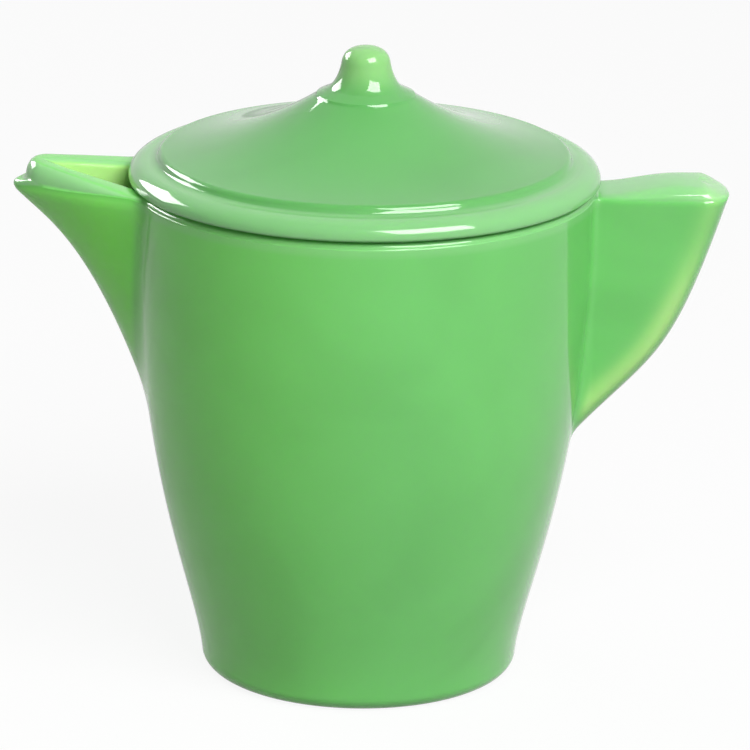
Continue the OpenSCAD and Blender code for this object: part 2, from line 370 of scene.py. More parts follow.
class InnerSkin(RoundSide):
    """The inside of the pot: the cavity and the pouring channel, as outlines from above."""

    def __init__(self, sizes):
        body = sizes.teapot_body
        super().__init__(body, body.foot_r - body.foot_wall, body.rim_r - body.rim_wall)
        self.spout = sizes.teapot_spout

    def crown(self, x):
        """Height of the top of the rim and of the spout's lip, which rises towards the nose."""
        rise = LIP_EASE * np.logaddexp(0, (-x - self.spout.lip_start) / LIP_EASE)
        return self.body.height + LIP_SLOPE * rise

    def channel_shape(self, x, y, z):
        ahead = np.clip(self.spout.channel_reach + x, TINY, None)
        half_w = CHANNEL_WIDTH * ahead * soft_step(ahead, *CHANNEL_POINT)
        depth = CHANNEL_DEPTH * ahead
        below = np.clip(self.crown(x) - z, 0, None)
        return (y / half_w) ** 2 + (below / depth) ** 2

    def height(self, x, share):
        return share * (self.crown(x) - self.body.mouth_round)

    def distance(self, x, y, share):
        far_away = 1.0
        z = self.height(x, share)
        cavity = np.hypot(x, y) - self.radius(z)
        channel = outline_distance(self.channel_shape, x, y, z)
        return joined(cavity, np.where(x < 0, channel, far_away), self.body.fillet)


def slope_of(outline, x, y, share):
    along_x, along_y = gains(outline.distance, x, y, share, 0.002 * MM)
    size = np.maximum(np.hypot(along_x, along_y), 1e-12)
    return along_x / size, along_y / size


def on_ray(outline, angles, share):
    """Where rays from the axis cross the outline at each height."""
    angles = np.asarray(angles, float)
    share = share[:, None]
    low = np.full((len(share), len(angles)), RAY_LOW)
    high = np.full_like(low, RAY_HIGH)
    for _ in range(RAY_HALVINGS):
        middle = (low + high) / 2
        outside = outline.distance(middle * np.cos(angles), middle * np.sin(angles), share) > 0
        high = np.where(outside, middle, high)
        low = np.where(outside, low, middle)
    return np.stack([low * np.cos(angles), low * np.sin(angles)], axis=-1)


def evenly_spaced(line, count):
    """A line of points up to where it crosses y = 0, spaced anew."""
    last = int(np.argmax(line[:, 1] < 0))
    part = line[last - 1, 1] / (line[last - 1, 1] - line[last, 1])
    end = mixed(line[last - 1], line[last], part)
    end[1] = 0
    line = np.vstack([line[:last], end])
    run = np.concatenate([[0], np.cumsum(np.linalg.norm(np.diff(line, axis=0), axis=1))])
    wanted = np.linspace(0, run[-1], count)
    return np.stack([np.interp(wanted, run, line[:, axis]) for axis in (0, 1)], axis=-1)


def walk(outline, ray, share, count):
    """Points along each outline, from a ray to the plane of symmetry at its end."""
    at = on_ray(outline, [ray], share)[:, 0]
    step = WALK_STEP if math.cos(ray) < 0 else -WALK_STEP
    path = [at]
    for _ in range(WALK_LIMIT):
        slope_x, slope_y = slope_of(outline, at[:, 0], at[:, 1], share)
        x = at[:, 0] - step * slope_y
        y = at[:, 1] + step * slope_x
        for _ in range(WALK_CORRECTIONS):
            off = outline.distance(x, y, share)
            x, y = x - off * slope_x, y - off * slope_y
            slope_x, slope_y = slope_of(outline, x, y, share)
        at = np.stack([x, y], axis=-1)
        path.append(at)
        if (y < 0).all():
            break
    path = np.array(path)
    return np.stack([evenly_spaced(path[:, i], count) for i in range(len(share))])


def half_outline(outline, share, spout_split, root_angles=None):
    """Points on the side y >= 0 of each outline, from the nose of the spout to the handle.

    Where root_angles are given, the last of them lie on these rays.
    """
    share = np.atleast_1d(np.asarray(share, float))
    spout = walk(outline, math.pi - spout_split, share, SPOUT_COUNT)[:, ::-1]
    rays = np.linspace(math.pi - spout_split, HANDLE_SPLIT, ARC_COUNT)[1:-1]
    arc = on_ray(outline, rays, share)
    if root_angles is None:
        end = walk(outline, HANDLE_SPLIT, share, HANDLE_COUNT)
    else:
        end = on_ray(outline, root_angles, share)
    flat = np.concatenate([spout, arc, end], axis=1)
    z = outline.height(flat[..., 0], share[:, None])
    return np.concatenate([flat, z[..., None]], axis=-1)


def arc_shares(count, power=2.0):
    """Pairs of inset and rise, as shares, along a quarter rounding that starts upright."""
    a = np.linspace(0, math.pi / 2, count)
    return list(zip(1 - np.cos(a) ** (2 / power), np.sin(a) ** (2 / power)))


def drawn_in(ring, radius, turn, z):
    """A ring drawn towards the axis as a rounding turns, at height z."""
    size = np.linalg.norm(ring[:, :2], axis=1)
    drawn = ring * (1 - radius * (1 - math.cos(turn)) / size)[:, None]
    drawn[:, 2] = z
    return drawn


def disc_rows(edge, centre_z, shares):
    """Rows that close a ring towards the axis."""
    centre = np.array([0, 0, centre_z])
    return np.stack([mixed(centre, edge, share) for share in shares])


def placed(name, data):
    """A new object in the scene."""
    made = bpy.data.objects.new(name, data)
    bpy.context.scene.collection.objects.link(made)
    return made


class Skin:
    """Patches of points in rows, welded into one closed mesh."""

    def __init__(self):
        self.points = []
        self.faces = []
        self.count = 0

    def add(self, patch):
        rows, columns = patch.shape[:2]
        index = self.count + np.arange(rows * columns).reshape(rows, columns)
        corners = [index[:-1, :-1], index[1:, :-1], index[1:, 1:], index[:-1, 1:]]
        self.faces.append(np.stack(corners, axis=-1).reshape(-1, 4))
        self.points.append(patch.reshape(-1, 3))
        self.count += rows * columns

    def mirror(self):
        """Adds the other side of everything, mirrored in the plane y = 0."""
        points = np.concatenate(self.points)
        faces = np.concatenate(self.faces)
        self.points.append(points * (1, -1, 1))
        self.faces.append(faces[:, ::-1] + self.count)
        self.count *= 2

    def build(self, name):
        points = np.concatenate(self.points)
        faces = np.concatenate(self.faces)
        keys = np.round(points / WELD).astype(np.int64)
        _, first, place = np.unique(keys, axis=0, return_index=True, return_inverse=True)
        faces = place.reshape(-1)[faces]
        loops = []
        for face in faces.tolist():
            kept = [v for i, v in enumerate(face) if v != face[i - 1]]
            if len(kept) > 2:
                loops.append(kept)
        mesh = bpy.data.meshes.new(name)
        mesh.from_pydata(points[first].tolist(), [], loops)
        shape = bmesh.new()
        shape.from_mesh(mesh)
        bmesh.ops.recalc_face_normals(shape, faces=shape.faces)
        open_edges = sum(1 for e in shape.edges if len(e.link_faces) != 2)
        shape.to_mesh(mesh)
        shape.free()
        if open_edges:
            raise RuntimeError(f"{name} has {open_edges} open edges")
        mesh.shade_smooth()
        return placed(name, mesh)


# Rows of the outside: base, foot's rounding, plain wall, and wall with spout and handle
BASE_SHARES = (0, 0.3, 0.6, 0.85, 0.97, 1)
FOOT_ROWS = 8
PLAIN_ROWS = 22
WING_ROWS = 62
WING_MARGIN = 3 * MM


def outside_rows(outer):
    """From the middle of the base out round the foot and up to the mould line."""
    body = outer.body
    line_z = body.height - body.rim_round
    low_z = outer.handle.low_z - WING_MARGIN
    low = np.linspace(body.foot_round, low_z, PLAIN_ROWS)
    high = np.linspace(low_z, line_z, WING_ROWS)[1:]
    wall = half_outline(outer, np.concatenate([low, high]) / line_z, SPOUT_SPLIT)
    foot = [
        drawn_in(wall[0], body.foot_round, turn, body.foot_round * (1 + math.sin(turn)))
        for turn in np.linspace(-math.pi / 2, 0, FOOT_ROWS)[:-1]]
    base = disc_rows(foot[0], 0, BASE_SHARES)
    return np.concatenate([base[:-1], np.stack(foot), wall])


# The handle's top: how far before its end the middle line's points begin to crowd and where
# they stop, where the dome grows, and the length of the slope at its end
SPINE_BEND = 7 * MM
SPINE_END = 3.2 * MM
DOME_GROWS = (26 * MM, 37.5 * MM)
SLOPED_END = 3 * MM
DOME_ROWS = 9
SPINE_ROWS = 9
# The most of the half width that is rounded, along the handle and at its end; how straight the
# slope is; and the share of the dome's height that its rounded edge gains
ROUNDED_SHARES = (0.6, 0.95)
STRAIGHT_SHARE = 0.5
EDGE_SHARE = 0.93


def handle_top(line, step_line, handle):
    """The domed top of the handle, from its mould line to its middle line, inwards."""
    x = line[:, 0]
    bend = handle.reach - SPINE_BEND
    end = handle.reach - SPINE_END
    past = np.clip(x - bend, 0, None)
    spine_x = np.minimum(x, bend) + (end - bend) * (1 - np.exp(-past / (end - bend)))
    spine = np.column_stack([spine_x, np.zeros_like(spine_x)])
    run = spine - step_line[:, :2]
    far = np.linalg.norm(run, axis=1)
    dome = mixed(handle.root_dome, handle.dome, soft_step(spine_x, *DOME_GROWS))
    # At the end the rounding is wider and turns into a slope down to the tip
    at_end = soft_step(x, handle.reach - SLOPED_END, handle.reach)
    rounding = np.minimum(handle.dome_round * (1 + at_end), mixed(*ROUNDED_SHARES, at_end) * far)
    rows = [line]
    for share_in, share_up in arc_shares(DOME_ROWS):
        flat = step_line[:, :2] + run * (share_in * rounding / far)[:, None]
        up = mixed(share_up, share_in, STRAIGHT_SHARE * at_end)
        rows.append(np.column_stack([flat, step_line[:, 2] + EDGE_SHARE * dome * up]))
    edge = rows[-1]
    for share in np.linspace(0, 1, SPINE_ROWS)[1:]:
        crowned = (1 - EDGE_SHARE) * dome * (1 - (1 - share) ** 2)
        rows.append(np.column_stack([mixed(edge[:, :2], spine, share), edge[:, 2] + crowned]))
    rows = np.stack(rows)
    rows[-1][:, 1] = 0
    return rows


# The rim and the lip: how far past the rim's radius the spout's roundings take over, and at what
# distances from the axis those of its front and the bead on its nose come in
ROUNDINGS_CHANGE = (-1 * MM, 2 * MM)
FRONT_BEGINS = (36.5 * MM, 40.5 * MM)
BEAD_GROWS = (38.1 * MM, 39.9 * MM)
# Share of the step's width that the bead takes, and of the lip's that the roundings may take
BEAD_SHARE = 0.8
OUTER_ROUND_SHARE = 0.62
INNER_ROUND_SHARE = 0.36
ROUND_ROWS = 9
LAND_ROWS = 5


def rim_rows(line, step_line, mouth, inner):
    """From the mould line over the step and the top of the rim to the edge of the mouth."""
    body, spout = inner.body, inner.spout
    out = -line[:, 0]
    across = mouth[:, :2] - step_line[:, :2]
    width = np.linalg.norm(across, axis=1)
    on_spout = soft_step(out, *(body.rim_r + change for change in ROUNDINGS_CHANGE))
    lip_round = mixed(spout.lip_round, spout.front_round, soft_step(out, *FRONT_BEGINS))
    outer_round = mixed(body.rim_round, lip_round, on_spout)
    outer_round = np.minimum(outer_round, OUTER_ROUND_SHARE * width)
    edge_round = mixed(body.mouth_round, spout.edge_round, on_spout)
    edge_round = np.minimum(edge_round, INNER_ROUND_SHARE * width)

    def part_way(share):
        return step_line[:, :2] + across * share[:, None]

    # The step at the mould line, which grows into the bead on the nose
    rows = [line]
    low_z = step_line[:, 2] + spout.nose_bead * soft_step(out, *BEAD_GROWS)
    for share_in, share_up in arc_shares(ROUND_ROWS, BEAD_POWER)[1:-1]:
        flat = mixed(line[:, :2], step_line[:, :2], BEAD_SHARE * share_in)
        rows.append(np.column_stack([flat, mixed(line[:, 2], low_z, share_up)]))
    # The outer rounding, the flat land and the inner rounding
    quarter = arc_shares(ROUND_ROWS)
    for share_in, share_up in quarter:
        flat = part_way(share_in * outer_round / width)
        rows.append(np.column_stack([flat, mixed(low_z, inner.crown(flat[:, 0]), share_up)]))
    for share in np.linspace(0, 1, LAND_ROWS)[1:]:
        flat = part_way(mixed(outer_round / width, 1 - edge_round / width, share))
        rows.append(np.column_stack([flat, inner.crown(flat[:, 0])]))
    for share_in, share_up in quarter[-3::-2]:
        flat = part_way(1 - edge_round * share_in / width)
        z = inner.crown(flat[:, 0]) - body.mouth_round * (1 - share_up)
        rows.append(np.column_stack([flat, z]))
    rows[-1] = mouth
    return np.stack(rows)


# Rows of the inside: wall with the channel, plain wall, corner and floor
CHANNEL_DROP = 14 * MM
CHANNEL_ROWS = 34
CAVITY_ROWS = 16
CORNER_ROWS = 9
FLOOR_SHARES = (1, 0.75, 0.4, 0)


def inside_rows(inner, root_angles):
    """From the mouth down to the floor's corner and in to the middle of the floor."""
    body = inner.body
    corner_z = body.floor + body.floor_round
    mouth_z = body.height - body.mouth_round
    high = np.linspace(mouth_z, mouth_z - CHANNEL_DROP, CHANNEL_ROWS)
    low = np.linspace(mouth_z - CHANNEL_DROP, corner_z, CAVITY_ROWS)[1:]
    share = np.concatenate([high, low]) / mouth_z
    cavity = half_outline(inner, share, CHANNEL_SPLIT, root_angles)
    corner = [
        drawn_in(
            cavity[-1], body.floor_round, turn, corner_z + body.floor_round * math.sin(turn))
        for turn in np.linspace(0, -math.pi / 2, CORNER_ROWS)[1:]]
    floor = disc_rows(corner[-1], body.floor, FLOOR_SHARES)
    return np.concatenate([cavity, np.stack(corner), floor[1:]])


# Height of the step at the mould line
LINE_LIFT = 0.04 * MM


def pot_skin(sizes):
    body, spout = sizes.teapot_body, sizes.teapot_spout
    outer = OuterSkin(sizes)
    stepped = OuterSkin(sizes, inset=body.line_step, lip_step=spout.lip_step)
    inner = InnerSkin(sizes)
    outside = outside_rows(outer)
    line = outside[-1]
    step_line = half_outline(stepped, [1.0], SPOUT_SPLIT)[0]
    step_line[:, 2] = line[:, 2] + LINE_LIFT
    top = handle_top(line[HANDLE_START:], step_line[HANDLE_START:], sizes.teapot_handle)

    # The rim's rows end in the root of the handle's top, which they all cross
    root = top[:, 0]
    root_angles = np.linspace(HANDLE_SPLIT, 0, len(root))
    line = np.concatenate([line[:HANDLE_START], root])
    step_line = np.concatenate([step_line[:HANDLE_START], root])
    mouth = half_outline(inner, [1.0], CHANNEL_SPLIT, root_angles)[0]

    skin = Skin()
    skin.add(outside)
    skin.add(top)
    skin.add(rim_rows(line, step_line, mouth, inner))
    skin.add(inside_rows(inner, root_angles))
    skin.mirror()
    return skin


def arc_points(centre, radii, start, end, count):
    """Points along an arc between two angles in degrees."""
    (r, z), (across, up) = centre, radii
    turns = np.radians(np.linspace(start, end, count))
    return [(r + across * math.cos(a), z + up * math.sin(a)) for a in turns]


def curve_points(start, end, run_shares, fall_shares, t):
    """Points along a curve from start to end, each given by its radius and its height."""
    run = between(start[0], end[0], run_shares, t)
    fall = between(start[1], end[1], fall_shares, t)
    return list(zip(run, fall))


# Points along the lid's curves
CROWN_POINTS = 18
KNOB_POINTS = 22
LEDGE_POINTS = 5
CONE_POINTS = 40
DISC_POINTS = 9
BEAD_POINTS = 24
UNDER_POINTS = 10
RING_POINTS = 7
HOLLOW_POINTS = 20
LID_SEGMENTS = 256
# Where the crown's rounding ends, in degrees above its foot
CROWN_END = 10.5
# The ledge's edge, in shares of its step: its rounding, the hollow under it and its foot
LEDGE_ROUND = (-0.3, -0.5)
LEDGE_RADIUS = 0.5
LEDGE_TURN = (60, 28)
LEDGE_HOLLOW = (0.73, -1.12)
LEDGE_FOOT = (0.85, -1.25)
# Two points that round the join of the disc's foot and the flange
DISC_JOIN = ((-0.05 * MM, 0.08 * MM), (0.09 * MM, -0.02 * MM))
RING_CHAMFER = 0.3 * MM


def knob_points(lid):
    """The knob, the ledge and its stepped edge; then the place where the cone starts."""
    crown_z = lid.top - lid.crown_h
    a = np.radians(np.linspace(90, CROWN_END, CROWN_POINTS))
    crown_r = lid.knob_r * np.cos(a) ** (2 / KNOB_POWER)
    points = list(zip(crown_r, crown_z + lid.crown_h * np.sin(a) ** (2 / KNOB_POWER)))
    t = np.linspace(0, 1, KNOB_POINTS)[1:]
    foot = (lid.knob_foot_r, lid.knob_foot_z)
    points += curve_points(points[-1], foot, KNOB_RUN_SHARES, KNOB_FALL_SHARES, t)

    def on_ledge(run, rise):
        return lid.ledge_r + run * lid.ledge_step, lid.ledge_z + rise * lid.ledge_step

    radius = LEDGE_RADIUS * lid.ledge_step
    points += arc_points(on_ledge(*LEDGE_ROUND), (radius, radius), *LEDGE_TURN, LEDGE_POINTS)
    points.append(on_ledge(*LEDGE_HOLLOW))
    return points, on_ledge(*LEDGE_FOOT)


def flange_points(lid, cone_start):
    """The cone, the disc's edge and the flange's bead, down to the rim."""
    slope = math.atan2(lid.disc_slope, lid.disc_h)
    edge_r = lid.disc_r - lid.disc_slope - lid.disc_round * math.cos(slope)
    foot_z = lid.bead_z + lid.bead_up + lid.disc_foot
    edge_z = foot_z + lid.disc_h - lid.disc_round * math.sin(slope)
    t = np.linspace(0, 1, CONE_POINTS)[:-1]
    cone_end = (edge_r, edge_z + lid.disc_round)
    points = curve_points(cone_start, cone_end, CONE_RUN_SHARES, CONE_FALL_SHARES, t)
    disc_radii = (lid.disc_round, lid.disc_round)
    points += arc_points((edge_r, edge_z), disc_radii, 90, math.degrees(slope), DISC_POINTS)
    points += [(lid.disc_r + run, foot_z + rise) for run, rise in DISC_JOIN]
    bead_centre = (lid.flange_r - lid.bead_in, lid.bead_z)
    points += arc_points(bead_centre, (lid.bead_in, lid.bead_up), 90, 0, BEAD_POINTS)
    under_centre = (lid.flange_r - lid.under_round, lid.bead_z)
    points += arc_points(under_centre, (lid.under_round, lid.bead_z), 0, -90, UNDER_POINTS)
    return points


def ring_points(lid, body):
    """The locating ring under the lid, and the hollow inside it."""
    outer_r = body.rim_r - body.rim_wall - lid.ring_gap
    inner_r = outer_r - lid.ring_w
    low_z = lid.ring_round - lid.ring_depth
    radii = (lid.ring_round, lid.ring_round)
    points = [(outer_r + RING_CHAMFER, 0), (outer_r, -RING_CHAMFER)]
    points += arc_points((outer_r - lid.ring_round, low_z), radii, 0, -90, RING_POINTS)
    points += arc_points((inner_r + lid.ring_round, low_z), radii, 270, 180, RING_POINTS)
    points += arc_points((0, 0), (inner_r, lid.hollow_h), 0, 90, HOLLOW_POINTS)
    return points


def lid_skin(sizes):
    """The lid, turned from its outline: from the knob outwards and back underneath."""
    lid, body = sizes.teapot_lid, sizes.teapot_body
    knob, cone_start = knob_points(lid)
    profile = np.array(knob + flange_points(lid, cone_start) + ring_points(lid, body))
    r, z = profile.T
    r[np.abs(r) < 1e-9] = 0
    turns = np.linspace(0, 2 * math.pi, LID_SEGMENTS + 1)
    turns[-1] = 0
    height = np.repeat((z + body.height)[:, None], len(turns), axis=1)
    skin = Skin()
    skin.add(np.stack([np.outer(r, np.cos(turns)), np.outer(r, np.sin(turns)), height], axis=-1))
    return skin


# From where to where each painted tint of light, shade or sheen comes in, in millimetres: along x,
# y or z, off the body's side, up from the mould line or the knob's foot, down from the rim, or out
# from the lid's disc
FADES = {
    "spout_x": (-21, -25),
    "spout_off": (0, 1.2),
    "handle_x": (21, 24),
    "handle_off": (0, 1.5),
    "channel_x": (-20, -23),
    "channel_down": (0.1, 0.5),
    "side_up": (-0.2, 0.1),
    "side_off": (0, 5),
    "left_x": (8, -22),
    "lip_x": (-25.5, -27.5),
    "lip_up": (0, 0.3),
    "low_lip_up": (-0.05, -0.3),
    "rim_up": (-1.3, -0.2),
    "keel_y": (3, 0.5),
    "keel_z": (54, 46),
    "top_x": (36, 42.5),
    "top_up": (-0.1, 0.5),
    "band_down": (4, 16),
    "flange_out": (-0.5, 0.8),
    "knob_up": (-0.5, 3),
}
# The same for parts of the normal
FACING_INWARDS = (-0.05, 0.3)
FACING_UP = (0.9, 0.98)
FACING_SIDEWAYS = (0.2, 0.8)

# How strong the painted tints of light, shade and sheen get; a pair is before and after a fade
# The spout's sides are painted darker near the body, where shade falls; the left's tint is painted
# shade
SIDE_TINT = (0.72, 1)
LEFT_PAINTED_SHADE = 0.35
# Painted sheen on the lip, the rim, the keel, the handle's top and the lid's flange and knob
LIP_TINT = 0.85
FLAT_LIP_LOSS = 0.85
LOW_LIP_TINT = 0.4
LOW_LIP_DEPTH = 1.6 * MM
RIM_TINT = 0.35
KEEL_TINT = 0.35
TOP_TINT = (0.6, 1)
# Painted light in the handle's band
BAND_TINT_SIDEWAYS = (0.5, 1)
BAND_TINT_DOWN = (0.3, 0.9)
LID_FLANGE_TINT = 0.5
LID_KNOB_TINT = 0.38
LID_KNOB_PAINTED_GLOW = 0.28
# The handle's painted light band: its distance from the outer edge, its widths either side of that
# place, and its least strength outside it
BAND_PLACE = 1.6 * MM
BAND_OUTSIDE = 0.8 * MM
BAND_INSIDE = 1.6 * MM
BAND_LEAST = 0.45


def fade(place, name):
    start, end = FADES[name]
    return soft_step(place, start * MM, end * MM)


def vertex_values(mesh, name):
    return np.array([getattr(v, name) for v in mesh.vertices])


def painted_light_band(outer, x, z):
    """A painted light band just inside the outer edge of the handle, where light comes through."""
    slope = np.interp(z, outer.wing_z, np.gradient(outer.wing_x, outer.wing_z))
    inside = (outer.wing_end(z) - x) / np.hypot(1, slope)
    outside = inside < BAND_PLACE
    width = np.where(outside, BAND_OUTSIDE, BAND_INSIDE)
    band = np.exp(-((inside - BAND_PLACE) / width) ** 2)
    return np.where(outside, np.maximum(band, BAND_LEAST), band)


def pot_shares(mesh, outer, inner):
    """Shares of painted glow and shade in spout green, painted sheen in pale green and painted
    glow in thin green at each point of the pot.
    """
    x, y, z = vertex_values(mesh, "co").T
    _, normal_y, normal_z = vertex_values(mesh, "normal").T
    off_body = np.hypot(x, y) - outer.radius(z)
    above_line = z - outer.line_z(x)
    inwards = -normal_y * np.sign(y)
    on_spout = fade(x, "spout_x") * fade(off_body, "spout_off")
    on_handle = fade(x, "handle_x") * fade(off_body, "handle_off")
    painted_channel_light = fade(x, "channel_x") * soft_step(inwards, *FACING_INWARDS)
    painted_channel_light *= fade(inner.crown(x) - z, "channel_down")

    # Painted light and shade: the spout's sides are painted yellower where light comes through
    # them, and less so near the body where shade falls; the left of the body, in shade, is painted
    # more saturated than its right
    side = on_spout * (1 - fade(above_line, "side_up"))
    side *= mixed(*SIDE_TINT, fade(off_body, "side_off"))
    painted_glow_and_shade = np.maximum(side, LEFT_PAINTED_SHADE * fade(x, "left_x"))

    # Painted sheen: the lip's rounded edges are painted pale, and a little of it runs down below
    # the mould line;
    # so are the rim's rounding, the spout's keel and the handle's top
    flat = soft_step(normal_z, *FACING_UP)
    lip = LIP_TINT * fade(above_line, "lip_up") * fade(x, "lip_x") * (1 - FLAT_LIP_LOSS * flat)
    low_lip = LOW_LIP_TINT * np.exp(np.minimum(above_line, 0) / LOW_LIP_DEPTH)
    low_lip *= on_spout * fade(above_line, "low_lip_up")
    rim = RIM_TINT * fade(above_line, "rim_up") * (1 - on_handle) * (1 - on_spout)
    keel = KEEL_TINT * on_spout * fade(np.abs(y), "keel_y") * fade(z, "keel_z")
    top = on_handle * fade(above_line, "top_up") * mixed(*TOP_TINT, fade(x, "top_x"))
    painted_sheen_green = np.maximum.reduce([lip, low_lip, rim, keel, top]) * (1 - painted_channel_light)

    # Painted light, where light comes through the walls of the channel, which the lid shades, and
    # through the handle's edge
    band = on_handle * painted_light_band(outer, x, z)
    band *= mixed(*BAND_TINT_SIDEWAYS, soft_step(np.abs(normal_y), *FACING_SIDEWAYS))
    band *= mixed(*BAND_TINT_DOWN, fade(outer.body.height - z, "band_down"))
    return np.stack([painted_glow_and_shade, painted_sheen_green, np.maximum(painted_channel_light, band)], axis=1)


def lid_shares(mesh, lid, rim_z):
    """The same for the lid: painted sheen in pale green along the flange and the knob, and painted
    glow in thin green in the knob.
    """
    x, y, z = vertex_values(mesh, "co").T
    r = np.hypot(x, y)
    flange = fade(r - lid.disc_r, "flange_out")
    knob = fade(z - rim_z - lid.knob_foot_z, "knob_up")
    painted_sheen = LID_FLANGE_TINT * flange + LID_KNOB_TINT * knob
    return np.stack([np.zeros_like(r), painted_sheen, LID_KNOB_PAINTED_GLOW * knob], axis=1)


class Value:
    """A socket that takes part in Python arithmetic; each operation adds a Math node."""

    def __init__(self, tree, socket):
        self.tree = tree
        self.socket = socket

    def math(self, operation, *inputs):
        return self.tree.node("ShaderNodeMath", {"operation": operation}, dict(enumerate(inputs)))

    def __add__(self, other):
        return self.math("ADD", self, other)

    def __mul__(self, other):
        return self.math("MULTIPLY", self, other)

    def __sub__(self, other):
        return self.math("SUBTRACT", self, other)

    def __rsub__(self, other):
        return self.math("SUBTRACT", other, self)

    __radd__ = __add__
    __rmul__ = __mul__


class NodeTree:
    """Adds nodes to a material or a world from their type, settings and inputs."""

    def __init__(self, owner):
        owner.use_nodes = True
        self.nodes = owner.node_tree.nodes
        self.links = owner.node_tree.links
        self.nodes.clear()

    def node(self, kind, settings=None, inputs=None, output=0):
        made = self.nodes.new(kind)
        for name, value in (settings or {}).items():
            setattr(made, name, value)
        for name, value in (inputs or {}).items():
            if isinstance(value, Value):
                self.links.new(value.socket, made.inputs[name])
            else:
                made.inputs[name].default_value = value
        return Value(self, made.outputs[output]) if made.outputs else None

    def mix(self, factor, first, second):
        """Colour mix; sockets 6 and 7 are the colours of a Mix node in RGBA mode."""
        inputs = {0: factor, 6: first, 7: second}
        return self.node("ShaderNodeMix", {"data_type": "RGBA"}, inputs, output=2)

    def step(self, value, start, end):
        inputs = {"Value": value, "From Min": start, "From Max": end}
        return self.node("ShaderNodeMapRange", {"interpolation_type": "SMOOTHSTEP"}, inputs)

    def part(self, vector, axis):
        return self.node("ShaderNodeSeparateXYZ", {}, {0: vector}, output=axis)


OBJECT_COORDINATES = 3
GENERATED_COORDINATES = 0
ATTRIBUTE_VECTOR = 1
SHARES = "shares"

# Swirls in the glass: how dark they are, at what levels of noise they come in, and how much
SWIRL_DARKNESS = 0.86
SWIRL_LEVELS = (0.35, 0.7)
SWIRL_SHARE = 0.7
SWIRL_NOISE = {"Scale": 38.0, "Detail": 2.0, "Roughness": 0.5, "Distortion": 1.2}
# The low waves that a fire polish leaves
WAVE_NOISE = {"Scale": 90.0, "Detail": 1.0, "Roughness": 0.4}
WAVE_BUMP = {"Strength": 0.12, "Distance": 0.4 * MM}
GLASS_BODY = {
    "IOR": 1.52,
    "Specular IOR Level": 0.42,
    "Subsurface Weight": 0.3,
    "Subsurface Radius": (0.6, 1.0, 0.35),
    "Subsurface Scale": 1.5 * MM,
}


def glass_material(name, look, main_colour):
    """Opaque green glass with swirls, tinted with painted glow, shade and sheen by the shares kept
    at the mesh's points.
    """
    material = bpy.data.materials.new(name)
    tree = NodeTree(material)
    noise = {"noise_dimensions": "3D"}
    place = tree.node("ShaderNodeTexCoord", output=OBJECT_COORDINATES)
    swirl = tree.node("ShaderNodeTexNoise", noise, {"Vector": place, **SWIRL_NOISE})
    darker = tuple(SWIRL_DARKNESS * c for c in main_colour)
    swirl_share = tree.step(swirl, *SWIRL_LEVELS) * SWIRL_SHARE
    base = tree.mix(swirl_share, (*main_colour, 1), (*darker, 1))
    shares = tree.node(
        "ShaderNodeAttribute", {"attribute_name": SHARES}, output=ATTRIBUTE_VECTOR)
    # Painted glow and shade in spout green, painted sheen and painted glow, mixed in by their
    # shares
    for axis, tint in enumerate((look.spout, look.painted_sheen, look.painted_glow)):
        base = tree.mix(tree.part(shares, axis), base, (*tint, 1))
    wave = tree.node("ShaderNodeTexNoise", noise, {"Vector": place, **WAVE_NOISE})
    bump = tree.node("ShaderNodeBump", {}, {"Height": wave, **WAVE_BUMP})
    shader = tree.node("ShaderNodeBsdfPrincipled", {}, {
        "Base Color": base, "Roughness": look.roughness, "Normal": bump, **GLASS_BODY})
    tree.node("ShaderNodeOutputMaterial", {}, {"Surface": shader})
    return material


def dress(piece, body, node, material, shares):
    attribute = piece.data.attributes.new(SHARES, "FLOAT_VECTOR", "POINT")
    attribute.data.foreach_set("vector", shares.ravel())
    piece.data.materials.append(material)
    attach(piece, body)
    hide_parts(node)


class TEAPOT_OT_pot(Operator):
    """Make the pot: body, spout and handle in one closed skin"""

    bl_idname = "teapot.pot"
    bl_label = "Pot"

    def execute(self, context):
        sizes = context.scene
        look = sizes.teapot_glass
        piece = pot_skin(sizes).build("pot_glass_skin")
        shares = pot_shares(piece.data, OuterSkin(sizes), InnerSkin(sizes))
        material = glass_material("pot_green_glass", look, look.deep)
        dress(piece, "pot", "pot", material, shares)
        return {"FINISHED"}


class TEAPOT_OT_lid(Operator):
    """Make the lid: flange, disc, cone, knob and the ring underneath"""

    bl_idname = "teapot.lid"
    bl_label = "Lid"

    def execute(self, context):
        sizes = context.scene
        look = sizes.teapot_glass
        piece = lid_skin(sizes).build("lid_glass_skin")
        shares = lid_shares(piece.data, sizes.teapot_lid, sizes.teapot_body.height)
        material = glass_material("lid_green_glass", look, look.lid)
        dress(piece, "lid", "lid", material, shares)
        return {"FINISHED"}


SENSOR_WIDTH = 36
CLIP_START = 0.01

# Lamps: azimuth and elevation in degrees, size in metres, power in watts, and whether the lamp
# shows in reflections alone or lights surfaces alone
LAMPS = {
    "left_light": (-128, 25, (0.50, 0.32), 1.3, False),
    "left_shine": (-128, 25, (0.42, 0.28), 4.5, True),
    "right_light": (31, 42, (0.54, 0.37), 6.7, False),
    "right_shine": (37, 45, (0.45, 0.37), 8.0, True),
}
# What the lamps face, and how far from it they are
LAMP_TARGET = Vector((0, 0, 0.05))
LIGHT_DISTANCE = 0.72
SHINE_DISTANCE = 0.70

WHITE = (1, 1, 1, 1)
# Level of the world's light on the object
SOFT_LEVEL = 0.22
# The room in reflections: how dark it is on the spout's side, how much less on the handle's, and
# in which directions it changes
ROOM_DARK = 0.85
ROOM_GAIN = 0.6
ROOM_SIDEWAYS = (-0.5, 0.6)
ROOM_BACKWARDS = (-0.1, 0.5)
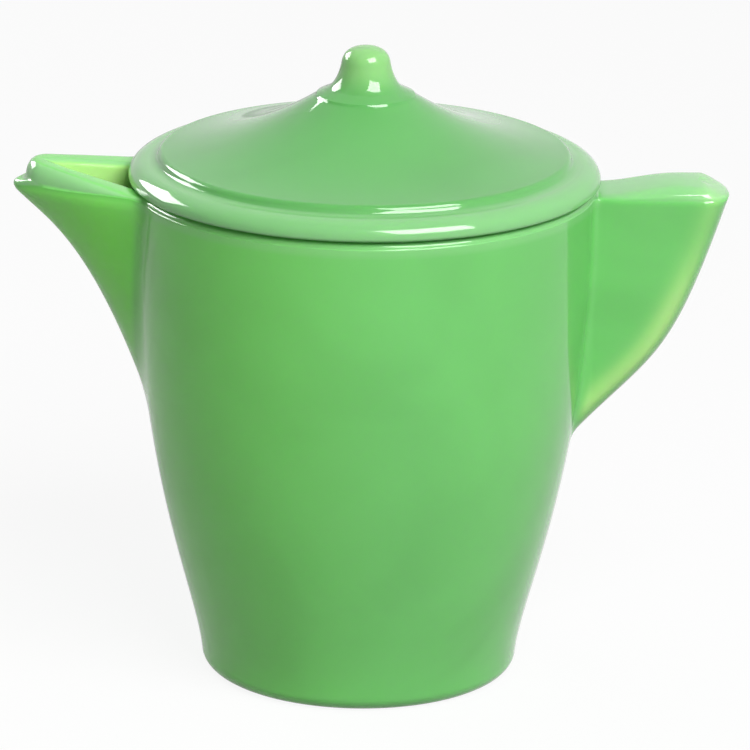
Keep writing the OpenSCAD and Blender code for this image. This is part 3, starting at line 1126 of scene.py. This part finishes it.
# The floor: its greys are for light and for the camera, and GLOW is its own brightness, of which
# reflections lose a part on the spout's side
FLOOR_HALF = 0.9
FLOOR_Z = -0.02 * MM
FLOOR_GREY = (0.28, 0.28, 0.28, 1)
FLOOR_PALE = (0.8, 0.8, 0.8, 1)
FLOOR_GLOW = 0.9
FLOOR_LOSS = 0.6
FLOOR_SIDEWAYS = (-60 * MM, 60 * MM)


def add_camera(stage):
    back = Vector((0, -math.cos(stage.elevation), math.sin(stage.elevation)))
    right = Vector((1, 0, 0))
    up = back.cross(right)
    turned_right = math.cos(stage.roll) * right + math.sin(stage.roll) * up
    turned_up = back.cross(turned_right)
    target = Vector((stage.look_x, 0, stage.look_z))
    data = bpy.data.cameras.new("camera")
    data.lens = stage.lens
    data.sensor_width = SENSOR_WIDTH
    data.clip_start = CLIP_START
    camera = placed("camera", data)
    axes = Matrix((turned_right, turned_up, back)).transposed().to_4x4()
    camera.matrix_world = Matrix.Translation(target + back * stage.distance) @ axes
    bpy.context.scene.camera = camera


def add_softbox(name, azimuth, elevation, size, power, in_reflections):
    """A rectangular lamp that faces the pot; azimuth 0 is the camera's side, 90 the handle's."""
    azimuth, elevation = math.radians(azimuth), math.radians(elevation)
    level = math.cos(elevation)
    towards = Vector((math.sin(azimuth) * level, -math.cos(azimuth) * level, math.sin(elevation)))
    data = bpy.data.lights.new(name, "AREA")
    data.shape = "RECTANGLE"
    data.size, data.size_y = size
    data.energy = power
    lamp = placed(name, data)
    distance = SHINE_DISTANCE if in_reflections else LIGHT_DISTANCE
    lamp.location = LAMP_TARGET + towards * distance
    lamp.rotation_euler = towards.to_track_quat("Z", "Y").to_euler()
    lamp.visible_glossy = in_reflections
    lamp.visible_diffuse = not in_reflections


def ray_kinds(tree):
    """1 for rays from the camera, and 1 for those, reflections and rays through glass."""
    camera_ray = tree.node("ShaderNodeLightPath")
    outputs = camera_ray.socket.node.outputs
    reflected = Value(tree, outputs["Is Glossy Ray"])
    through = Value(tree, outputs["Is Transmission Ray"])
    return camera_ray, camera_ray.math("MINIMUM", camera_ray + reflected + through, 1.0)


def add_world():
    """A white backdrop; the room reflects dimly, most of all on the spout's side."""
    world = bpy.data.worlds.new("studio")
    bpy.context.scene.world = world
    tree = NodeTree(world)
    camera_ray, seen = ray_kinds(tree)
    soft = tree.node("ShaderNodeBackground", {}, {"Color": WHITE, "Strength": SOFT_LEVEL})
    white = tree.node("ShaderNodeBackground", {}, {"Color": WHITE, "Strength": 1.0})
    direction = tree.node("ShaderNodeTexCoord", output=GENERATED_COORDINATES)
    sideways = tree.step(tree.part(direction, 0), *ROOM_SIDEWAYS)
    in_front = 1 - tree.step(tree.part(direction, 1), *ROOM_BACKWARDS)
    room = (ROOM_DARK - sideways * ROOM_GAIN) * in_front * (1 - camera_ray)
    backdrop = tree.node("ShaderNodeMixShader", {}, {0: room, 1: white, 2: soft})
    shown = tree.node("ShaderNodeMixShader", {}, {0: seen, 1: soft, 2: backdrop})
    tree.node("ShaderNodeOutputWorld", {}, {"Surface": shown})


def add_floor():
    """A pale floor that keeps the pot's shadow and is near to white in the camera's view."""
    signs = ((-1, -1), (1, -1), (1, 1), (-1, 1))
    corners = [(x * FLOOR_HALF, y * FLOOR_HALF, FLOOR_Z) for x, y in signs]
    mesh = bpy.data.meshes.new("floor")
    mesh.from_pydata(corners, [], [(0, 1, 2, 3)])
    floor = placed("floor", mesh)
    material = bpy.data.materials.new("floor_white")
    tree = NodeTree(material)
    camera_ray, seen = ray_kinds(tree)
    place = tree.node("ShaderNodeTexCoord", output=OBJECT_COORDINATES)
    sideways = tree.step(tree.part(place, 0), *FLOOR_SIDEWAYS)
    loss = (1 - sideways) * (1 - camera_ray) * FLOOR_LOSS
    grey = tree.mix(seen, FLOOR_GREY, FLOOR_PALE)
    matt = tree.node("ShaderNodeBsdfDiffuse", {}, {"Color": grey})
    white = tree.node("ShaderNodeEmission", {}, {"Color": WHITE, "Strength": 1.0})
    glow = seen * (FLOOR_GLOW - loss)
    shown = tree.node("ShaderNodeMixShader", {}, {0: glow, 1: matt, 2: white})
    tree.node("ShaderNodeOutputMaterial", {}, {"Surface": shown})
    mesh.materials.append(material)


class TEAPOT_OT_stage(Operator):
    """Make the floor, the lamps, the world and the camera"""

    bl_idname = "teapot.stage"
    bl_label = "Stage"

    def execute(self, context):
        context.scene.view_settings.view_transform = "Standard"
        add_camera(context.scene.teapot_stage)
        add_world()
        add_floor()
        for name, lamp in LAMPS.items():
            add_softbox(name, *lamp)
        return {"FINISHED"}


class TEAPOT_PT_sidebar(Panel):
    bl_label = "Toy teapot"
    bl_idname = "TEAPOT_PT_sidebar"
    bl_space_type = "VIEW_3D"
    bl_region_type = "UI"
    bl_category = "Teapot"

    def draw(self, context):
        for operator in OPERATORS:
            self.layout.operator(operator.bl_idname)
        for name in SETTINGS:
            box = self.layout.box()
            group = getattr(context.scene, name)
            for field in group.bl_rna.properties:
                if not field.is_readonly and field.identifier != "name":
                    box.prop(group, field.identifier)


OPERATORS = (TEAPOT_OT_stage, TEAPOT_OT_pot, TEAPOT_OT_lid)
CLASSES = (*SETTINGS.values(), *OPERATORS, TEAPOT_PT_sidebar)


def register():
    for item in CLASSES:
        bpy.utils.register_class(item)
    for name, group in SETTINGS.items():
        setattr(bpy.types.Scene, name, PointerProperty(type=group))


def unregister():
    for name in SETTINGS:
        delattr(bpy.types.Scene, name)
    for item in reversed(CLASSES):
        bpy.utils.unregister_class(item)


def main():
    register()
    bpy.ops.teapot.stage()
    bpy.ops.teapot.pot()
    bpy.ops.teapot.lid()


if __name__ == "__main__":
    main()
